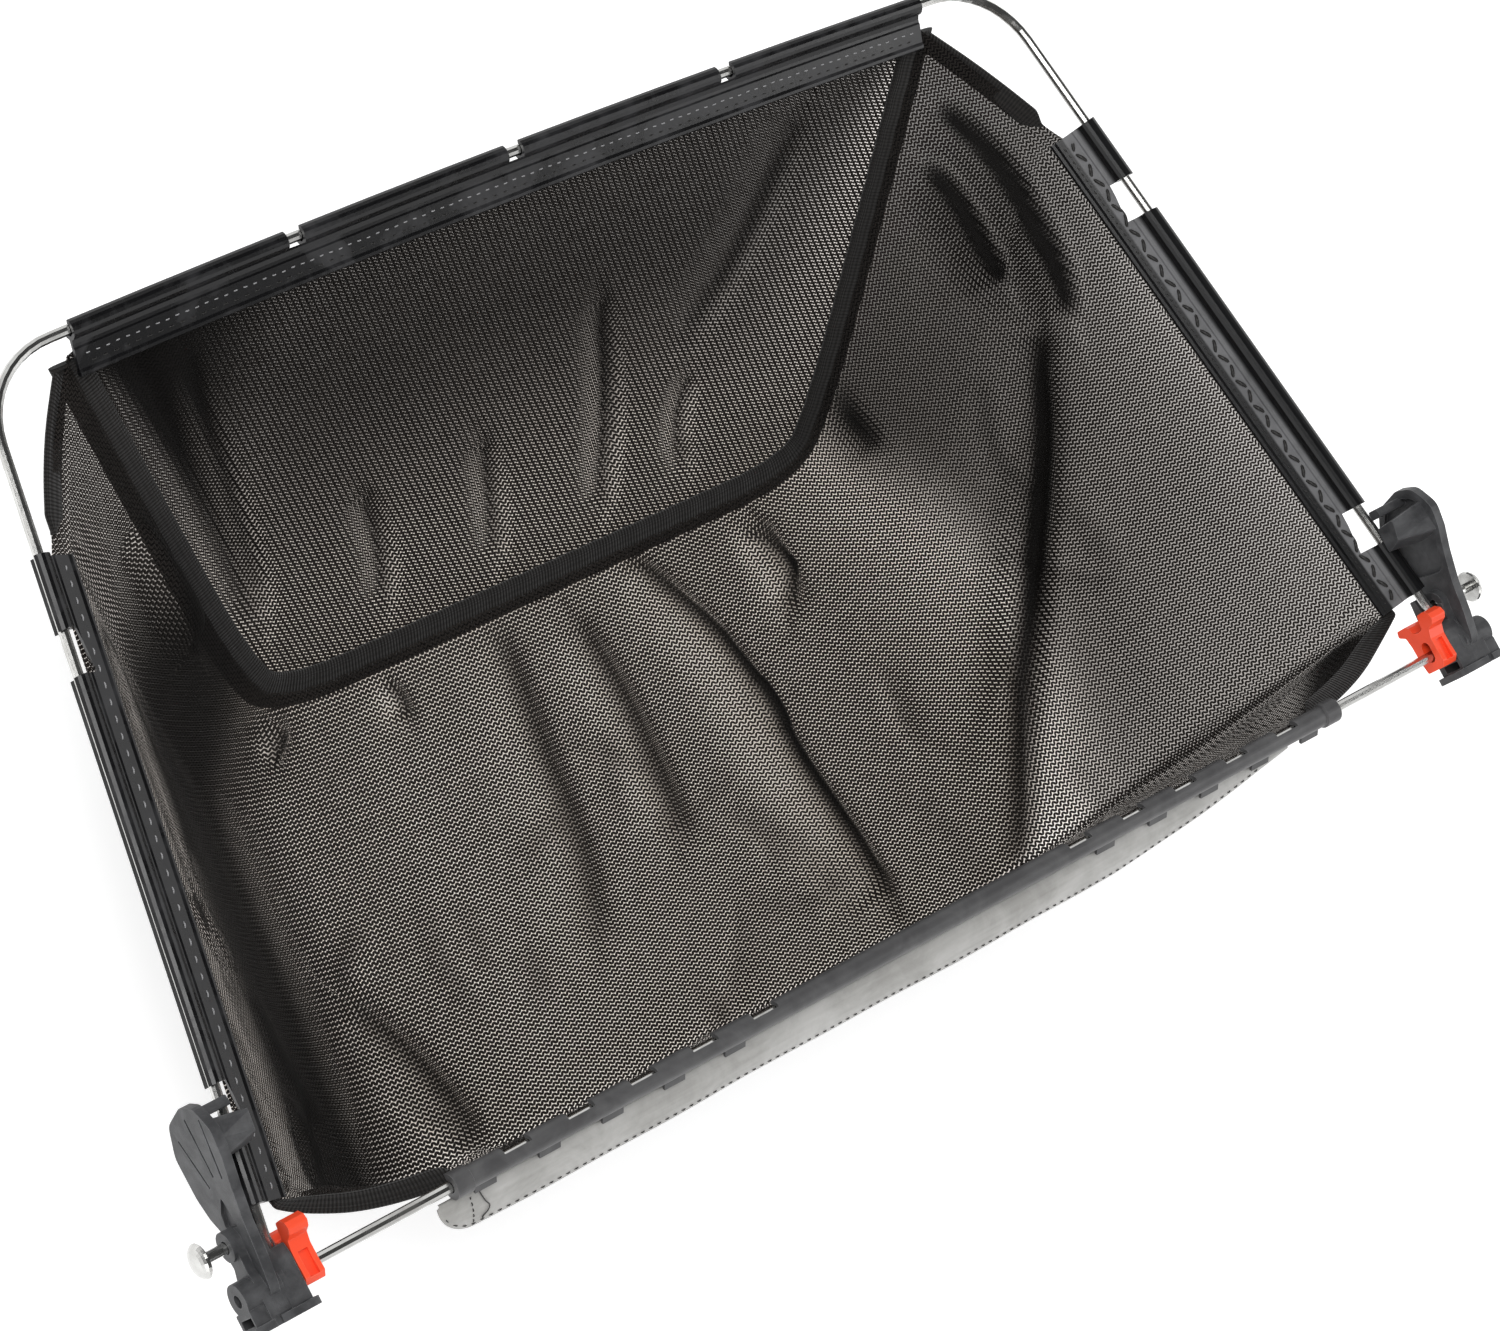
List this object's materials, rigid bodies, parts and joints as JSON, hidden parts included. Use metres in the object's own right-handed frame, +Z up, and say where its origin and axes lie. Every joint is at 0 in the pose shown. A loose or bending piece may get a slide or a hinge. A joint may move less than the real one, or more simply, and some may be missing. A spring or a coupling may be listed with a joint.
{
  "type": "hedge trimmer collection bag",
  "caption": "Open net catcher bag on a bent wire frame with clip-on edge profiles, blade brackets with thumb paddles and sliding locks.",
  "frame": {"origin": "middle of the overall box, on the ground under the bag", "axes": "+X along the front rod to the right, +Y from the blade side to the back, +Z up out of the mouth"},
  "size_m": [0.5384, 0.2945, 0.1301],
  "materials": {
    "steel": "bright drawn steel",
    "edge_plastic": "glossy black extrusion",
    "clip_plastic": "satin grey moulding",
    "bracket_plastic": "fine-grained dark grey moulding",
    "lock_plastic": "satin red-orange moulding",
    "net": "black zigzag knitted net",
    "tape": "black ribbed binding tape",
    "sheet": "translucent silver-grey sheet"
  },
  "bodies": {
    "root": {"frame_wire": "steel", "front_rod": "steel", "back_profile": "edge_plastic", "left_profile": "edge_plastic", "right_profile": "edge_plastic", "front_clip": "clip_plastic", "slider_sheet": "sheet", "main_panel": "net", "back_panel": "net", "seam_binding": "tape", "left_back_binding": "tape", "right_back_binding": "tape", "left_front_binding": "tape", "right_front_binding": "tape", "left_bracket": "bracket_plastic", "right_bracket": "bracket_plastic", "left_headed_pin": "steel", "right_headed_pin": "steel"},
    "left_lock": {"left_slide_lock": "lock_plastic"},
    "right_lock": {"right_slide_lock": "lock_plastic"}
  },
  "joints": [
    {"name": "left_lock_slide", "type": "slide", "parent": "root", "child": "left_lock", "axis": [0, -1, 0], "range_m": [0, 0.003]},
    {"name": "right_lock_slide", "type": "slide", "parent": "root", "child": "right_lock", "axis": [0, -1, 0], "range_m": [0, 0.003]}
  ]
}
